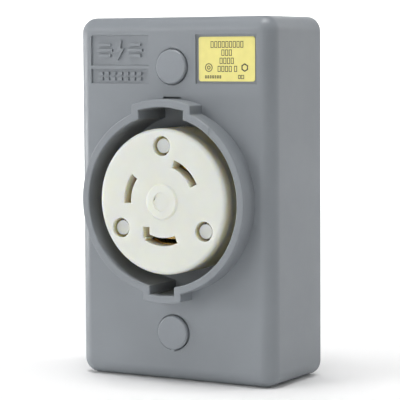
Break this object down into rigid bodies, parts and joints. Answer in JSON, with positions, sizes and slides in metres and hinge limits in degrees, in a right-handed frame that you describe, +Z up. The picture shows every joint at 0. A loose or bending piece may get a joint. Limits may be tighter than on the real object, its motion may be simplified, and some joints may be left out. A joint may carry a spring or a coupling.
{
  "type": "surface-mounted locking power outlet",
  "caption": "Wall-mounted grey outlet box with a keyed round shroud around a white locking three-slot contact face.",
  "frame": {"origin": "centre of the rear mounting face, on the wall plane", "axes": "+Z up, +X to the right seen from the front, -Y out of the front towards the user, +Y into the wall"},
  "size_m": [0.0706, 0.0397, 0.1142],
  "materials": {
    "housing_plastic": "fine moulded texture, satin",
    "cap_plastic": "fine moulded texture, satin",
    "plate_plastic": "moulded, matte",
    "fibre_sheet": "vulcanised fibre, matte",
    "white_nylon": "off-white nylon, semi-matte, slightly translucent",
    "black_phenolic": "moulded phenolic, semi-matte",
    "brass": "rolled brass",
    "zinc_steel": "bright zinc plate",
    "spring_steel": "spring temper steel",
    "brass_screw": "brass plated",
    "green_screw": "green dyed steel",
    "label_film": "printed yellow film, satin"
  },
  "bodies": {
    "enclosure": {"housing": "housing_plastic", "rear_plate": "plate_plastic", "rear_insulator": "fibre_sheet", "threaded_inserts": "brass", "mounting_strap": "zinc_steel", "nose_shell": "white_nylon", "contact_face": "white_nylon", "receptacle_base": "black_phenolic", "neutral_contact": "brass", "line_contact": "brass", "ground_contact": "brass", "contact_springs": "spring_steel", "bonding_strip": "brass", "terminal_nuts": "zinc_steel", "assembly_screws": "zinc_steel", "cover_screws": "zinc_steel", "cover_screw_washers": "zinc_steel", "rating_label": "label_film"},
    "upper_cap": {"upper_screw_cap": "cap_plastic"},
    "lower_cap": {"lower_screw_cap": "cap_plastic"},
    "neutral_clamp": {"neutral_clamp_plate": "zinc_steel"},
    "neutral_screw": {"neutral_terminal_screw": "zinc_steel"},
    "line_clamp": {"line_clamp_plate": "zinc_steel"},
    "line_screw": {"line_terminal_screw": "brass_screw"},
    "ground_clamp": {"ground_clamp_plate": "zinc_steel"},
    "ground_screw": {"ground_terminal_screw": "green_screw"}
  },
  "joints": [
    {"name": "upper_cap_pull", "type": "slide", "parent": "enclosure", "child": "upper_cap", "axis": [0, -1, 0], "range_m": [0, 0.012]},
    {"name": "lower_cap_pull", "type": "slide", "parent": "enclosure", "child": "lower_cap", "axis": [0, -1, 0], "range_m": [0, 0.012]},
    {"name": "neutral_clamp_slide", "type": "slide", "parent": "enclosure", "child": "neutral_clamp", "axis": [0, 1, 0], "range_m": [0, 0.0025]},
    {"name": "neutral_screw_turn", "type": "hinge", "parent": "neutral_clamp", "child": "neutral_screw", "pos_m": [0.01541, -0.009, 0.0089], "axis": [0, 1, 0], "range_deg": [0, 1140]},
    {"name": "line_clamp_slide", "type": "slide", "parent": "enclosure", "child": "line_clamp", "axis": [0, 1, 0], "range_m": [0, 0.0025]},
    {"name": "line_screw_turn", "type": "hinge", "parent": "line_clamp", "child": "line_screw", "pos_m": [-0.01541, -0.009, 0.0089], "axis": [0, 1, 0], "range_deg": [0, 1140]},
    {"name": "ground_clamp_slide", "type": "slide", "parent": "enclosure", "child": "ground_clamp", "axis": [0, 1, 0], "range_m": [0, 0.0025]},
    {"name": "ground_screw_turn", "type": "hinge", "parent": "ground_clamp", "child": "ground_screw", "pos_m": [0, -0.009, -0.0178], "axis": [0, 1, 0], "range_deg": [0, 1140]}
  ],
  "couplings": [
    {"joint": "neutral_screw_turn", "follows": "neutral_clamp_slide", "rad_per_m": 7913.4},
    {"joint": "line_screw_turn", "follows": "line_clamp_slide", "rad_per_m": 7913.4},
    {"joint": "ground_screw_turn", "follows": "ground_clamp_slide", "rad_per_m": 7913.4}
  ]
}
